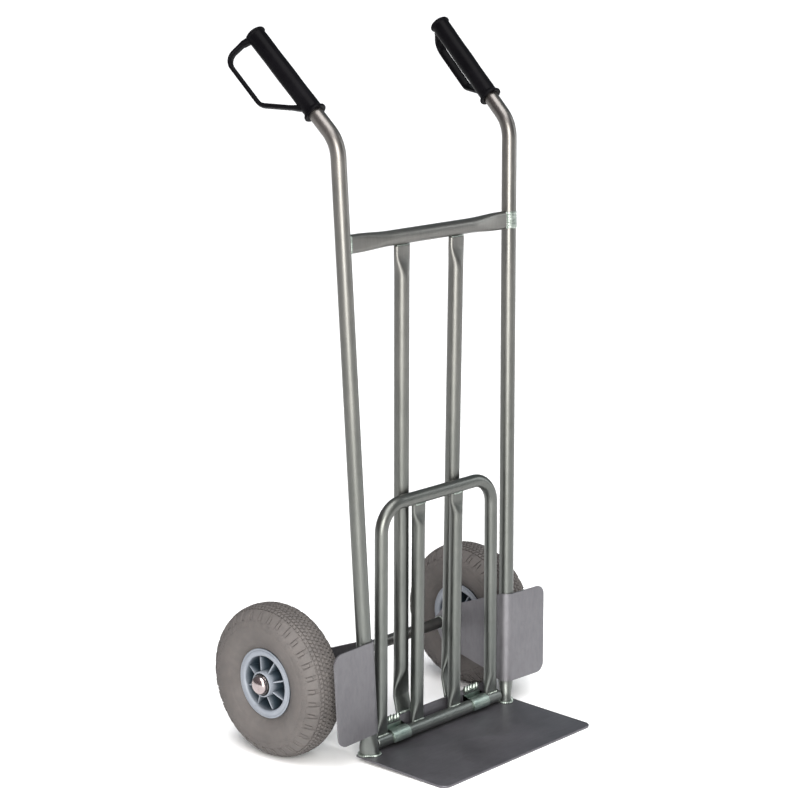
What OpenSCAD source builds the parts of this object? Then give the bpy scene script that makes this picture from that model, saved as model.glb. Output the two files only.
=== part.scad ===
// Two-wheeled hand truck: welded tube frame, fixed toe plate, folding load extension and foam wheels.
// Millimetres, +Z up, +Y towards the person who pushes it, X across.
// The origin is on the floor, under the middle of the whole truck.

/* [Main frame] */
// Outside diameter of the frame tubes
tube_d = 25; // [22:0.5:28]
// Wall of all the tubes
tube_wall = 1.5; // [1:0.1:2.5]
// Distance from the middle of the truck to each upright at the floor
foot_x = 171.8; // [165:0.2:180]
// Outward lean of each upright
splay = 1.85; // [1.5:0.05:2.3]
// Forward lean of each upright
lean = 0.206; // [0.1:0.002:0.6]
// Height where each upright turns back towards the grip
bend_z = 994; // [940:1:1040]
// Angle of that bend
bend_angle = 45; // [35:0.2:55]
// Radius of that bend at the tube's middle
bend_r = 60; // [45:1:80]
// Height of the upper crossbar
crossbar_z = 857.5; // [800:0.5:900]
// Distance from the middle to each ladder bar at the top
ladder_top_x = 65.6; // [58:0.2:70]
// Distance from the middle to each ladder bar at the bottom
ladder_foot_x = 60.2; // [56:0.2:64]

/* [Toe plate] */
// Half of the width of the toe plate
toe_half_w = 188.3; // [180:0.5:200]
// How far the toe plate reaches in front of the uprights
toe_reach = 184; // [150:1:200]
// Thickness of the toe plate
toe_t = 4; // [3:0.5:5]
// Rounding of the two front corners
toe_corner_r = 14; // [8:1:25]
// Height of the back edge above the floor while the front edge rests on it
toe_rise = 8; // [6:0.5:9]
// Height of the turned-up lip behind the folding frame
lip_top_z = 50; // [46:1:54]

/* [Grips] */
// Outside diameter of the grip
grip_d = 31; // [29:0.5:36]
// Length of the grip
grip_len = 176; // [150:1:180]
// Diameter of the collar at the open end of the grip
grip_collar_d = 39; // [36:0.5:44]
// How far the knuckle guard stands from the middle of the grip
guard_reach = 61; // [56:1:72]
// Turn of the knuckle guard away from straight down
guard_turn = 33; // [10:1:38]
// Width of the guard band
guard_w = 15; // [8:0.5:18]
// Thickness of the guard band
guard_t = 7.5; // [6:0.5:10]

/* [Folding frame] */
// Outside diameter of the folding frame tubes
fold_d = 22; // [19:0.5:23]
// Distance from the middle to the foot of each side leg
fold_foot_x = 138.6; // [136:0.2:142]
// Distance from the middle to the top of each side leg
fold_top_x = 135.6; // [130:0.2:138]
// Height of the top bar
fold_top_z = 424.6; // [380:0.2:440]
// Corner radius at the tube's middle
fold_corner_r = 46; // [30:1:56]
// Height of the hinge line
hinge_z = 25; // [24.5:0.1:26]
// Length of the hinge tube
hinge_len = 310; // [290:1:312]
// Distance from the middle to each hinge strap
strap_x = 100; // [96:1:104]
// Width of each hinge strap
strap_w = 40; // [30:1:44]

/* [Wheels] */
// Diameter of the tyre
wheel_d = 260; // [240:1:262]
// Width of the tyre
tyre_w = 84; // [76:1:85]
// Distance from the middle to the middle of each wheel
wheel_x = 240.7; // [238:0.2:246]
// Distance from the uprights back to the axle
wheel_y = 137.8; // [130:0.5:150]
// Outside diameter of the rim's side rings
rim_ring_d = 118.6; // [112:0.2:122]
// Inside diameter of the rim's side rings
rim_well_d = 89; // [80:0.5:94]
// Outside diameter of the hub
hub_d = 43; // [40:0.5:48]
// Number of ribs in each side of the rim
rib_count = 8; // [6:1:10]
// Axle diameter
axle_d = 20; // [18:0.5:22]

/* [Axle brackets] */
// Sheet thickness of the axle brackets
bracket_t = 3; // [2:0.5:3.5]
// Width of the front flange, from the upright's middle to its outer edge
flange_w = 84; // [74:1:90]
// Bottom of the front flange
flange_bottom_z = 51; // [48:1:60]
// Top of the front flange
flange_top_z = 208; // [190:1:215]
// Corner rounding of the front flange
flange_r = 17; // [10:1:22]

/* [Hidden] */
$fn = 64;

tube_r = tube_d / 2;
fold_r = fold_d / 2;
wheel_r = wheel_d / 2;
wheel_z = wheel_r;
axle_r = axle_d / 2;
run_gap = 0.05;
toe_tilt = atan(toe_rise / toe_reach);
front_y = toe_reach + toe_t * sin(toe_tilt);
mid_y = (wheel_y + wheel_r - front_y) / 2;

// squashed foot of each upright
foot_z0 = 12;
foot_z1 = 26;
foot_z2 = 50;
foot_y = -3.4;
foot_wide = 33;
foot_thin = 20;
foot_turn = 45;
bend_twist = -2.35;
crossbar_y = foot_y - crossbar_z * tan(lean);

// a straight length runs this far into each bend, and is this much thinner than it
lap = 1;
slip = 0.06;

// ladder bars: upper end, lower round end and the pressed tongue that reaches the lip
ladder_top = [ladder_top_x, crossbar_y, crossbar_z - tube_r - 1.5];
ladder_low = [ladder_foot_x, 28.2, 79];
lip_y = 14;
lip_half_w = 150;
tongue_t = 5;
tongue_w = 34;

// grip and guard, measured along the grip from its open end
grip_from_bend = 35.7;
grip_cap = 10;
collar_l = 6;
guard_top = grip_len - 5;
guard_path = [[guard_top, 13], [grip_len - 1.5, 24], [grip_len - 3, guard_reach - 18],
              [grip_len - 10, guard_reach - 7], [grip_len - 20, guard_reach - 1],
              [grip_len - 32, guard_reach],
              [88, guard_reach], [75, guard_reach - 3], [64, guard_reach - 11], [20, 13]];

// folding frame: it leans forward a little, and the two bars stand behind the side legs at the foot
fold_top_y = -11.6;
fold_low_y = 2.9;
fold_bar_x = 46.75;
fold_bar_back = 3.2;
press_top = 72;
strap_t = 2.5;

// wheel
rim_face = 30;
rim_seat_r = 56;
rim_well_r = rim_well_d / 2;
rim_ring_r = rim_ring_d / 2;
hub_r = hub_d / 2;
hub_half = 37;
web_t = 5;
rib_t = 4;
bearing_r = 17;
bearing_w = 12;
axle_end = wheel_x + hub_half + 6;

// axle bracket, across the upright: inner and outer radius of its bend, and the side plate's outline
bracket_in_r = tube_r + 0.4;
bracket_out_r = bracket_in_r + bracket_t;
plate_out_x = foot_x - bracket_in_r + (wheel_z + axle_r + 4) * sin(splay);
plate_axle_y = wheel_y - foot_y + 0.5;
plate_axle_z = wheel_z - 0.9;
tail_r = 14;

function dir(p, q) = (q - p) / norm(q - p);
function side_n(p, q) = [-(q - p)[1], (q - p)[0]] / norm(q - p);
function miter(p, i, w) =
    i == 0 ? p[0] + side_n(p[0], p[1]) * w :
    i == len(p) - 1 ? p[i] + side_n(p[i - 1], p[i]) * w :
    p[i] + (side_n(p[i - 1], p[i]) + side_n(p[i], p[i + 1])) * w
           / (1 + side_n(p[i - 1], p[i]) * side_n(p[i], p[i + 1]));
function band(p, w) = concat([for (i = [0 : len(p) - 1]) miter(p, i, w / 2)],
                             [for (i = [len(p) - 1 : -1 : 0]) miter(p, i, -w / 2)]);

// everything is drawn from the uprights' line and then moved so that the origin is in the middle
module place() {
    translate([0, -mid_y, 0]) children();
}

// points +Z along the line from p to q
module along(p, q) {
    d = dir(p, q);
    translate(p) rotate([0, acos(d[2]), atan2(d[1], d[0])]) children();
}

module pipe(len, r) {
    difference() {
        cylinder(h = len, r = r);
        translate([0, 0, -1]) cylinder(h = len + 2, r = r - tube_wall);
    }
}

module slot_2d(wide, thin) {
    square([wide - thin, thin], center = true);
    translate([(wide - thin) / 2, 0]) circle(d = thin);
    translate([-(wide - thin) / 2, 0]) circle(d = thin);
}

// a tube end pressed from round to a flat slot shape
module pressed(len, d, wide, thin, flat = 0.2) {
    hull() {
        linear_extrude(0.2) circle(d = d - 0.2, $fn = 32);
        translate([0, 0, len - flat]) linear_extrude(flat) slot_2d(wide, thin, $fn = 24);
    }
}

module along_upright() {
    translate([foot_x, foot_y, 0]) rotate([lean, splay, 0]) children();
}

module on_upright() {
    along_upright() rotate([0, 0, bend_twist]) children();
}

module after_bend() {
    translate([0, bend_r * (1 - cos(bend_angle)), bend_z + bend_r * sin(bend_angle)])
        rotate([-bend_angle, 0, 0]) children();
}

module upright() {
    color([0.62, 0.62, 0.6]) on_upright() difference() {
        bent_rod(tube_r, 0);
        bent_rod(tube_r - tube_wall, 1);
    }
}

// a round rod along the upright, longer by extra at both ends
module bent_rod(r, extra) {
    translate([0, 0, foot_z2 - extra]) cylinder(h = bend_z - foot_z2 + extra + lap, r = r - slip);
    translate([0, bend_r, bend_z]) rotate([90, 0, -90]) rotate_extrude(angle = bend_angle)
        translate([bend_r, 0]) circle(r = r);
    after_bend() translate([0, 0, -lap])
        cylinder(h = grip_from_bend + grip_len - grip_cap - 4 + extra + lap, r = r - slip);
}

// the pressed end that stands on the toe plate
module foot_plug() {
    color([0.62, 0.62, 0.6]) on_upright() translate([0, 0, foot_z2]) rotate([0, 0, foot_turn])
        mirror([0, 0, 1]) pressed(foot_z2 - foot_z0, tube_d, foot_wide, foot_thin, foot_z1 - foot_z0);
}

module right_upright() { upright(); }
module left_upright() { mirror([1, 0, 0]) upright(); }
module right_foot_plug() { foot_plug(); }
module left_foot_plug() { mirror([1, 0, 0]) foot_plug(); }

module upright_cut() {
    on_upright() cylinder(h = bend_z, r = tube_r + 0.1);
}

module upper_crossbar() {
    x_end = foot_x + crossbar_z * tan(splay) - 8;
    x_round = 100;
    x_flat = foot_x;
    color([0.62, 0.62, 0.6]) {
        translate([-x_round, crossbar_y, crossbar_z]) rotate([0, 90, 0])
            pipe(2 * x_round, tube_r);
        for (s = [0, 1]) mirror([s, 0, 0]) difference() {
            translate([x_round, crossbar_y, crossbar_z]) rotate([0, 90, 0])
                pressed(x_end - x_round, tube_d, 31, 15, x_end - x_flat);
            upright_cut();
        }
    }
}

module ladder_bar() {
    d = dir(ladder_low, ladder_top);
    len = norm(ladder_top - ladder_low);
    low_press = 50;
    top_press = 38;
    tongue_end = [ladder_foot_x, lip_y + toe_t + tongue_t / 2 + 0.3, 36];
    color([0.62, 0.62, 0.6]) {
        translate(ladder_low + d * low_press) multdir(d) pipe(len - low_press - top_press, tube_r);
        // top, pressed front to back under the crossbar
        translate(ladder_top - d * (top_press + lap)) multdir(d) pressed(top_press, tube_d, 33, 10.4, 16);
        // bottom, pressed and turned forward to the lip
        translate(ladder_low + d * (low_press + lap)) multdir(-d)
            pressed(low_press + lap, tube_d, tongue_w, tongue_t);
        along(ladder_low, tongue_end) rotate([0, 0, 90])
            linear_extrude(norm(tongue_end - ladder_low)) square([tongue_w, tongue_t], center = true);
    }
}

// turns +Z to the direction d, with X kept across the truck
module multdir(d) {
    rotate([-asin(d[1]), atan2(d[0], d[2]), 0]) children();
}

module right_ladder_bar() { ladder_bar(); }
module left_ladder_bar() { mirror([1, 0, 0]) ladder_bar(); }

// sheet with rounded front corners: a sloping load face, a level heel, and a narrower lip turned up
module toe_plate() {
    heel_y = 22;
    back = lip_y + toe_t;
    heel_z = (toe_reach - heel_y) * tan(toe_tilt);
    nose = [toe_t * sin(toe_tilt), toe_t * cos(toe_tilt)];
    fold_y = heel_y + toe_t * tan(toe_tilt / 2);
    color([0.33, 0.33, 0.35]) {
        difference() {
            translate([-toe_half_w, 0, 0]) rotate([90, 0, 90]) linear_extrude(2 * toe_half_w)
                polygon([[-toe_reach, 0], [-heel_y, heel_z], [back, heel_z], [back, heel_z + toe_t],
                         [-fold_y, heel_z + toe_t], [-toe_reach - nose[0], nose[1]]]);
            for (s = [-1, 1]) translate([0, -toe_reach, 0]) rotate([toe_tilt, 0, 0])
                translate([0, 0, -2]) linear_extrude(toe_t + 4) difference() {
                    translate([s * (toe_half_w - toe_corner_r / 2 + 1), toe_corner_r / 2 - 1])
                        square(toe_corner_r + 2, center = true);
                    translate([s * (toe_half_w - toe_corner_r), toe_corner_r]) circle(r = toe_corner_r);
                }
        }
        translate([-lip_half_w, lip_y, heel_z + 1]) cube([2 * lip_half_w, toe_t, lip_top_z - heel_z - 1]);
    }
}

// one sheet bent round the upright: a flange in front and a side plate back to the axle
module axle_bracket() {
    h = flange_top_z - flange_bottom_z;
    color([0.5, 0.5, 0.52]) difference() {
        along_upright() {
            // front flange
            translate([0, -bracket_in_r, flange_bottom_z]) rotate([90, 0, 0]) linear_extrude(bracket_t) {
                square([flange_w - flange_r, h]);
                translate([flange_w - flange_r - 1, flange_r]) square([flange_r + 1, h - 2 * flange_r]);
                for (z = [flange_r, h - flange_r]) translate([flange_w - flange_r, z]) circle(r = flange_r);
            }
            // bend
            translate([0, 0, flange_bottom_z]) rotate([0, 0, 180]) rotate_extrude(angle = 90)
                translate([bracket_in_r, 0]) square([bracket_t, h]);
            // side plate
            translate([-bracket_out_r, 0, 0]) rotate([90, 0, 90]) linear_extrude(bracket_t) {
                polygon([[0, flange_bottom_z], [8, flange_bottom_z + 4], [24, flange_bottom_z + 12.7],
                         [plate_axle_y - 10, wheel_z - 39], [plate_axle_y + 6, plate_axle_z - 12],
                         [plate_axle_y + 6, plate_axle_z + 12], [plate_axle_y - 8, wheel_z + 29],
                         [2, flange_top_z - 1.2], [0, flange_top_z]]);
                translate([plate_axle_y, plate_axle_z]) circle(r = tail_r);
            }
        }
        translate([0, wheel_y, wheel_z]) rotate([0, 90, 0]) cylinder(h = 200, r = axle_r + run_gap);
    }
}

module right_axle_bracket() { axle_bracket(); }
module left_axle_bracket() { mirror([1, 0, 0]) axle_bracket(); }

module axle() {
    color([0.45, 0.45, 0.45]) translate([-axle_end, wheel_y, wheel_z]) rotate([0, 90, 0])
        cylinder(h = 2 * axle_end, r = axle_r);
}

// saddle of sheet metal over the hinge tube, with a tab up the lip
module hinge_strap() {
    r_in = fold_r + run_gap;
    r_out = r_in + strap_t;
    color([0.68, 0.72, 0.68]) translate([strap_x - strap_w / 2, 0, hinge_z]) {
        rotate([90, 0, 90]) saddle(r_in, r_out);
        translate([0, r_in, 0]) cube([strap_w, strap_t, lip_top_z - hinge_z - 8]);
    }
}

// more than half of a ring, open underneath, turned about Z and run along Z
module saddle(r_in, r_out) {
    rotate_extrude(angle = 205) translate([r_in, 0]) square([r_out - r_in, strap_w]);
}

module right_hinge_strap() { hinge_strap(); }
module left_hinge_strap() { mirror([1, 0, 0]) hinge_strap(); }

// weld beads at the feet, the crossbar, the axle brackets and the straps
module frame_welds() {
    color([0.6, 0.6, 0.58]) for (s = [0, 1]) mirror([s, 0, 0]) {
        // foot to toe plate
        on_upright() translate([0, 0, foot_z0 - 1.2]) rotate([0, 0, foot_turn])
            linear_extrude(3.4) difference() {
                slot_2d(foot_wide + 5.6, foot_thin + 5.6);
                slot_2d(foot_wide + 0.2, foot_thin + 0.2);
            }
        // strap tab to lip
        translate([strap_x - 17, lip_y - 0.5, lip_top_z + 1]) rotate([0, 90, 0])
            cylinder(h = 34, r = 6, $fn = 32);
        // ladder tongue to lip
        translate([ladder_foot_x - 15, lip_y + toe_t + 2, lip_top_z - 1]) rotate([0, 90, 0])
            cylinder(h = 30, r = 2.2, $fn = 24);
        // flange to upright, along the outside
        along_upright() translate([8.6, 1.3 - tube_r, 90]) cylinder(h = 40, r = 2.2, $fn = 24);
    }
}

module grip() {
    color([0.07, 0.07, 0.08]) on_upright() after_bend() translate([0, 0, grip_from_bend]) {
        difference() {
            union() {
                cylinder(h = grip_len, r = grip_d / 2);
                cylinder(h = collar_l, r = grip_collar_d / 2);
                translate([0, 0, grip_len - 8]) cylinder(h = 8, r = grip_d / 2 + 2);
                rotate([0, 0, -guard_turn]) rotate([90, 0, -90]) translate([0, 0, -guard_w / 2])
                    linear_extrude(guard_w) polygon([for (q = band(guard_path, guard_t)) [-q[1], q[0]]]);
            }
            translate([0, 0, -1]) cylinder(h = grip_len - grip_cap + 1, r = tube_r + 0.1);
        }
    }
}

module right_grip() { grip(); }
module left_grip() { mirror([1, 0, 0]) grip(); }

module hinge_tube() {
    color([0.62, 0.62, 0.6]) translate([-hinge_len / 2, 0, hinge_z]) rotate([0, 90, 0])
        pipe(hinge_len, fold_r);
}

// direction of a side leg, from its foot to the top
leg_lean = atan((fold_low_y - fold_top_y) / (fold_top_z - hinge_z));
plane_top = (fold_top_z - hinge_z) / cos(leg_lean);
leg_tilt = atan((fold_foot_x - fold_top_x) / plane_top);
leg_len = plane_top / cos(leg_tilt);
leg_z0 = press_top - hinge_z;
corner_t = fold_corner_r * tan((90 - leg_tilt) / 2);

// drawn flat, upright in the XZ plane above the hinge line, then leaned forward
module fold_plane() {
    translate([0, fold_low_y, hinge_z]) rotate([leg_lean, 0, 0]) children();
}

// one side leg and its corner as a round rod, longer by extra at the foot
module half_rod(r, extra) {
    translate([fold_foot_x, 0, 0]) rotate([0, -leg_tilt, 0]) {
        translate([0, 0, leg_z0 - extra])
            cylinder(h = leg_len - corner_t - leg_z0 + extra + lap, r = r - slip);
        translate([-fold_corner_r, 0, leg_len - corner_t]) rotate([90, 0, 0])
            rotate_extrude(angle = 90 - leg_tilt) translate([fold_corner_r, 0]) circle(r = r);
    }
}

// the whole hoop as a round rod
module hoop_rod(r, extra) {
    top_half = fold_top_x - corner_t + lap;
    for (s = [0, 1]) mirror([s, 0, 0]) half_rod(r, extra);
    translate([-top_half, 0, plane_top]) rotate([0, 90, 0]) cylinder(h = 2 * top_half, r = r - slip);
}

// room for the hinge tube
module hinge_cut() {
    translate([0, 0, hinge_z]) rotate([0, 90, 0]) cylinder(h = 340, r = fold_r + 0.1, center = true);
}

module fold_hoop() {
    color([0.62, 0.62, 0.6]) difference() {
        fold_plane() union() {
            hoop_rod(fold_r, 0.4);
            for (s = [0, 1]) mirror([s, 0, 0]) translate([fold_foot_x, 0, 0]) rotate([0, -leg_tilt, 0])
                translate([0, 0, leg_z0]) mirror([0, 0, 1]) pressed(leg_z0 - fold_r + 5, fold_d, 24, 10);
        }
        fold_plane() hoop_rod(fold_r - tube_wall, 0);
        hinge_cut();
    }
}

module fold_bar() {
    bar_lean = atan(fold_bar_back / plane_top);
    bar_len = (plane_top - fold_r) / cos(bar_lean);
    color([0.62, 0.62, 0.6]) difference() {
        fold_plane() translate([fold_bar_x, fold_bar_back, 0]) rotate([bar_lean, 0, 0]) {
            translate([0, 0, leg_z0]) pipe(bar_len - leg_z0 - 36, fold_r);
            translate([0, 0, leg_z0]) mirror([0, 0, 1]) pressed(leg_z0 - fold_r + 7, fold_d, 24, 8);
            translate([0, 0, bar_len - 36]) pressed(38, fold_d, 25, 8);
        }
        fold_plane() translate([0, 0, plane_top]) rotate([0, 90, 0])
            cylinder(h = 300, r = fold_r + 0.1, center = true);
        hinge_cut();
    }
}

module right_fold_bar() { fold_bar(); }
module left_fold_bar() { mirror([1, 0, 0]) fold_bar(); }

// weld beads where the legs and bars meet the hinge tube and the top bar
module fold_welds() {
    color([0.66, 0.68, 0.66]) fold_plane() for (s = [0, 1]) mirror([s, 0, 0]) {
        weld_pair(fold_foot_x, [-5.6, fold_r - 0.6], [5.6, fold_r - 3.2]);
        weld_pair(fold_bar_x, [-1.5, fold_r - 0.6], [7.7, fold_r - 7]);
        weld_pair(fold_bar_x, [-4.4, plane_top - fold_r + 0.4], [4.4, plane_top - fold_r + 0.4]);
    }
}

// a bead in front of a pressed end and one behind it, at [y, z]
module weld_pair(x, front, back) {
    for (q = [front, back]) translate([x - 11, q[0], q[1]]) rotate([0, 90, 0])
        cylinder(h = 22, r = 1.8, $fn = 24);
}

module on_wheel() {
    translate([wheel_x, wheel_y, wheel_z]) rotate([0, 90, 0]) children();
}

// half of the tyre's outline from the rim to the crown, as [radius, offset] pairs
tyre_half = [[rim_seat_r + 0.05, 0], [rim_seat_r + 0.05, 25.4], [60, 26.2], [61, 27.6], [64, 32.2],
             [70, 37.2], [78, 40.6], [86, 42], [94, 41.8], [100, 40.8],
              [106, 39], [112, 36.1], [117, 32.5], [121, 28.7],
             [124.5, 23.8], [127, 18.7], [128.8, 12.8], [129.8, 6.8], [130, 0]];
module tyre() {
    kr = wheel_r / 130;
    kw = tyre_w / 84;
    up = [for (q = tyre_half) [q[0] > 62 ? q[0] * kr : q[0], q[1] * (q[1] > 30 ? kw : 1)]];
    down = [for (i = [len(up) - 2 : -1 : 1]) [up[i][0], -up[i][1]]];
    color([0.53, 0.5, 0.47]) on_wheel() rotate_extrude($fn = 96) polygon(concat(up, down));
}

module rim() {
    color([0.65, 0.7, 0.76]) on_wheel() difference() {
        union() {
            rotate_extrude($fn = 96) polygon([[rim_seat_r, -26], [rim_seat_r, 26], [rim_ring_r, 26.8],
                [rim_ring_r, rim_face - 1], [rim_ring_r - 1, rim_face], [rim_well_r, rim_face],
                [rim_well_r, rim_face - 3], [rim_seat_r - 5, 22], [rim_seat_r - 5, -22],
                [rim_well_r, 3 - rim_face], [rim_well_r, -rim_face], [rim_ring_r - 1, -rim_face],
                [rim_ring_r, 1 - rim_face], [rim_ring_r, -26.8]]);
            translate([0, 0, -web_t / 2]) cylinder(h = web_t, r = rim_seat_r - 4.5, $fn = 96);
            translate([0, 0, -hub_half]) cylinder(h = 2 * hub_half, r = hub_r);
            for (i = [0 : rib_count - 1]) rotate([0, 0, i * 360 / rib_count])
                translate([hub_r - 2, -rib_t / 2, 3 - rim_face])
                    cube([rim_well_r - hub_r + 2.5, rib_t, 2 * (rim_face - 3)]);
        }
        translate([0, 0, -hub_half - 1]) cylinder(h = 2 * hub_half + 2, r = axle_r + 3);
        for (z = [-hub_half - 1, hub_half - bearing_w]) translate([0, 0, z])
            cylinder(h = bearing_w + 1, r = bearing_r + run_gap);
    }
}

module bearings() {
    color([0.6, 0.6, 0.62]) on_wheel() for (z = [-hub_half, hub_half - bearing_w]) translate([0, 0, z])
        difference() {
            cylinder(h = bearing_w, r = bearing_r);
            translate([0, 0, -1]) cylinder(h = bearing_w + 2, r = axle_r + run_gap);
        }
}

// a sleeve between bracket and wheel, and a washer outside the wheel
module spacers() {
    inner = wheel_x - hub_half - 0.3;
    color([0.6, 0.6, 0.6]) translate([0, wheel_y, wheel_z]) rotate([0, 90, 0]) {
        translate([0, 0, plate_out_x + 0.1]) difference() {
            cylinder(h = inner - plate_out_x - 0.1, r = axle_r + 4);
            translate([0, 0, -1]) cylinder(h = 100, r = axle_r + run_gap);
        }
        translate([0, 0, wheel_x + hub_half + 0.3]) difference() {
            cylinder(h = 2.5, r = axle_r + 7);
            translate([0, 0, -1]) cylinder(h = 5, r = axle_r + run_gap);
        }
    }
}

// pressed cap on the end of the axle
module hub_cap() {
    cap_x = wheel_x + hub_half + 2.9;
    color([0.75, 0.75, 0.76]) translate([cap_x, wheel_y, wheel_z]) rotate([0, 90, 0]) difference() {
        rotate_extrude() polygon([[0, 0], [17.5, 0], [17.5, 3.5], [16.2, 7], [13.6, 9.8],
                                  [9.5, 12], [5, 13.2], [0, 13.6]]);
        translate([0, 0, -1]) cylinder(h = axle_end - cap_x + 1.3, r = axle_r + run_gap);
    }
}

module right_tyre() { tyre(); }
module left_tyre() { mirror([1, 0, 0]) tyre(); }
module right_rim() { rim(); }
module left_rim() { mirror([1, 0, 0]) rim(); }
module right_bearings() { bearings(); }
module left_bearings() { mirror([1, 0, 0]) bearings(); }
module right_spacers() { spacers(); }
module left_spacers() { mirror([1, 0, 0]) spacers(); }
module right_hub_cap() { hub_cap(); }
module left_hub_cap() { mirror([1, 0, 0]) hub_cap(); }

place() left_upright();
place() right_upright();
place() left_foot_plug();
place() right_foot_plug();
place() upper_crossbar();
place() left_ladder_bar();
place() right_ladder_bar();
place() toe_plate();
place() left_axle_bracket();
place() right_axle_bracket();
place() axle();
place() left_hinge_strap();
place() right_hinge_strap();
place() frame_welds();
place() left_grip();
place() right_grip();
place() hinge_tube();
place() fold_hoop();
place() left_fold_bar();
place() right_fold_bar();
place() fold_welds();
place() left_tyre();
place() left_rim();
place() left_bearings();
place() right_tyre();
place() right_rim();
place() right_bearings();
place() left_spacers();
place() right_spacers();
place() left_hub_cap();
place() right_hub_cap();
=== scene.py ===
from math import atan, cos, pi, radians, sin, sqrt, tan

import bmesh
import bpy
from mathutils import Matrix, Vector, noise


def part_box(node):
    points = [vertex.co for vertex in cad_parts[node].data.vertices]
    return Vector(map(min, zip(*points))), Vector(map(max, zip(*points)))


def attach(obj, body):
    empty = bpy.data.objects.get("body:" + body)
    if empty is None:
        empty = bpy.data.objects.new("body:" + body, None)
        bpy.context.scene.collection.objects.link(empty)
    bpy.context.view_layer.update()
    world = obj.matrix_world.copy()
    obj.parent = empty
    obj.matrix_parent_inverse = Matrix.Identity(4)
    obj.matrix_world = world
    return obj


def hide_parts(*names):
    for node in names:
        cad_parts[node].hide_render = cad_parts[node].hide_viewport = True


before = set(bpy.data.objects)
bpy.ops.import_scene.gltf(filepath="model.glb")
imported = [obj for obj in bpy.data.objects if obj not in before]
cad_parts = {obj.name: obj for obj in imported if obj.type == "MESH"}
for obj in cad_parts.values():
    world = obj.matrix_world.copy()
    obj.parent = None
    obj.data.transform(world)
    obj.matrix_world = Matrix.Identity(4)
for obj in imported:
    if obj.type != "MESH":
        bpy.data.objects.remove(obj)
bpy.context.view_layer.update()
MM = 0.001

# ---------------------------------------------------------------- places read from the CAD frame


def mid(node):
    lo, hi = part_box(node)
    return (Vector(lo) + Vector(hi)) / 2


# side -1 is the truck's left, side 1 its right
SHIFT = Vector((0, mid("hinge_tube").y, 0))
wheel_mid = {-1: mid("left_tyre"), 1: mid("right_tyre")}
LETTER = {-1: "L", 1: "R"}


def P(x, y, z):
    """A point given in millimetres; its y starts at the folding frame's hinge line."""
    return Vector((x, y, z)) * MM + SHIFT


def flip(v, side):
    return Vector((v.x * side, v.y, v.z))


# ---------------------------------------------------------------- sizes, in millimetres

# tubes: outer radius of the frame's and of the folding frame's, and the wall of the latter
TUBE_R, FOLD_R, WALL = 12.5, 11.0, 1.5
# uprights: foot, outward splay, forward lean and the turn of the bend's plane
FOOT_X, FOOT_Y, SPLAY, LEAN, TWIST = 171.8, -3.4, radians(1.85), radians(0.206), radians(2.35)
FOOT_WIDE, FOOT_THIN = 33.0, 20.0
BEND_Z, BEND_R, BEND = 994.0, 60.0, radians(45.0)
CROSS_Z = 857.5
CROSS_X = FOOT_X + CROSS_Z * tan(SPLAY)
CROSS_Y = FOOT_Y - CROSS_Z * tan(LEAN)
# grips: start after the bend, length, radius of the grip and of its collar
GRIP_FROM, GRIP_LEN, GRIP_R, COLLAR_R = 35.7, 176.0, 15.4, 19.3
GUARD_TURN, GUARD_REACH, GUARD_HALF_W, GUARD_HALF_T = radians(32.8), 61.0, 7.4, 3.6
# toe plate and the lip at its back
LIP_Y, LIP_T, LIP_TOP, LIP_HALF = 14.0, 4.0, 50.0, 150.0
TOE_HALF, TOE_REACH, TOE_T, TOE_CORNER, TOE_RISE = 188.3, 184.0, 4.0, 14.0, 8.0
TOE_TILT = atan(TOE_RISE / TOE_REACH)
# folding frame: hinge tube, hoop and inner bars
HINGE_Z, HINGE_HALF = 25.0, 155.0
FOLD_FOOT_X, FOLD_TOP_X, FOLD_TOP_Z, FOLD_CORNER = 138.6, 135.6, 424.6, 46.0
FOLD_LOW_Y, FOLD_TOP_Y = 2.9, -11.6
BAR_X, BAR_BACK = 46.75, 3.2
# hinge straps, ends of the ladder bars, axle brackets, wheels
STRAP_IN, STRAP_OUT, STRAP_T = 80.0, 120.0, 2.5
LADDER_TOP, LADDER_LOW = (65.6, -6.4, 843.0), (60.2, 28.2, 79.0)
BRACKET_T, FLANGE_W, FLANGE_CORNER, FLANGE_LOW, FLANGE_HIGH = 3.0, 84.0, 17.0, 51.0, 208.0
WHEEL_Y, WHEEL_Z, WHEEL_X = 137.8, 130.0, 240.7
RIB_COUNT, RIB_TURN = 8, radians(74)

# ---------------------------------------------------------------- mesh helpers


def link(name, verts, faces, mat=None, sharp=35, flat=False):
    me = bpy.data.meshes.new(name)
    me.from_pydata([tuple(v) for v in verts], [], faces)
    me.validate()
    bm = bmesh.new()
    bm.from_mesh(me)
    bmesh.ops.recalc_face_normals(bm, faces=bm.faces)
    bm.to_mesh(me)
    bm.free()
    if not flat:
        for p in me.polygons:
            p.use_smooth = True
        me.set_sharp_from_angle(angle=radians(sharp))
    ob = bpy.data.objects.new(name, me)
    bpy.context.scene.collection.objects.link(ob)
    if mat:
        me.materials.append(mat)
    return ob


def rings_to_mesh(rings, cap=(True, True)):
    """Quads between rings of the same count; cap says which ends get one closing face."""
    n = len(rings[0])
    verts = [v for r in rings for v in r]
    faces = []
    last = len(rings) - 1
    for i in range(last):
        a, b = i * n, (i + 1) * n
        for j in range(n):
            k = (j + 1) % n
            faces.append((a + j, a + k, b + k, b + j))
    if cap[0]:
        faces.append(tuple(range(n - 1, -1, -1)))
    if cap[1]:
        faces.append(tuple(last * n + j for j in range(n)))
    return verts, faces


def smooth01(t):
    t = max(0.0, min(1.0, t))
    return t * t * (3 - 2 * t)


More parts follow.
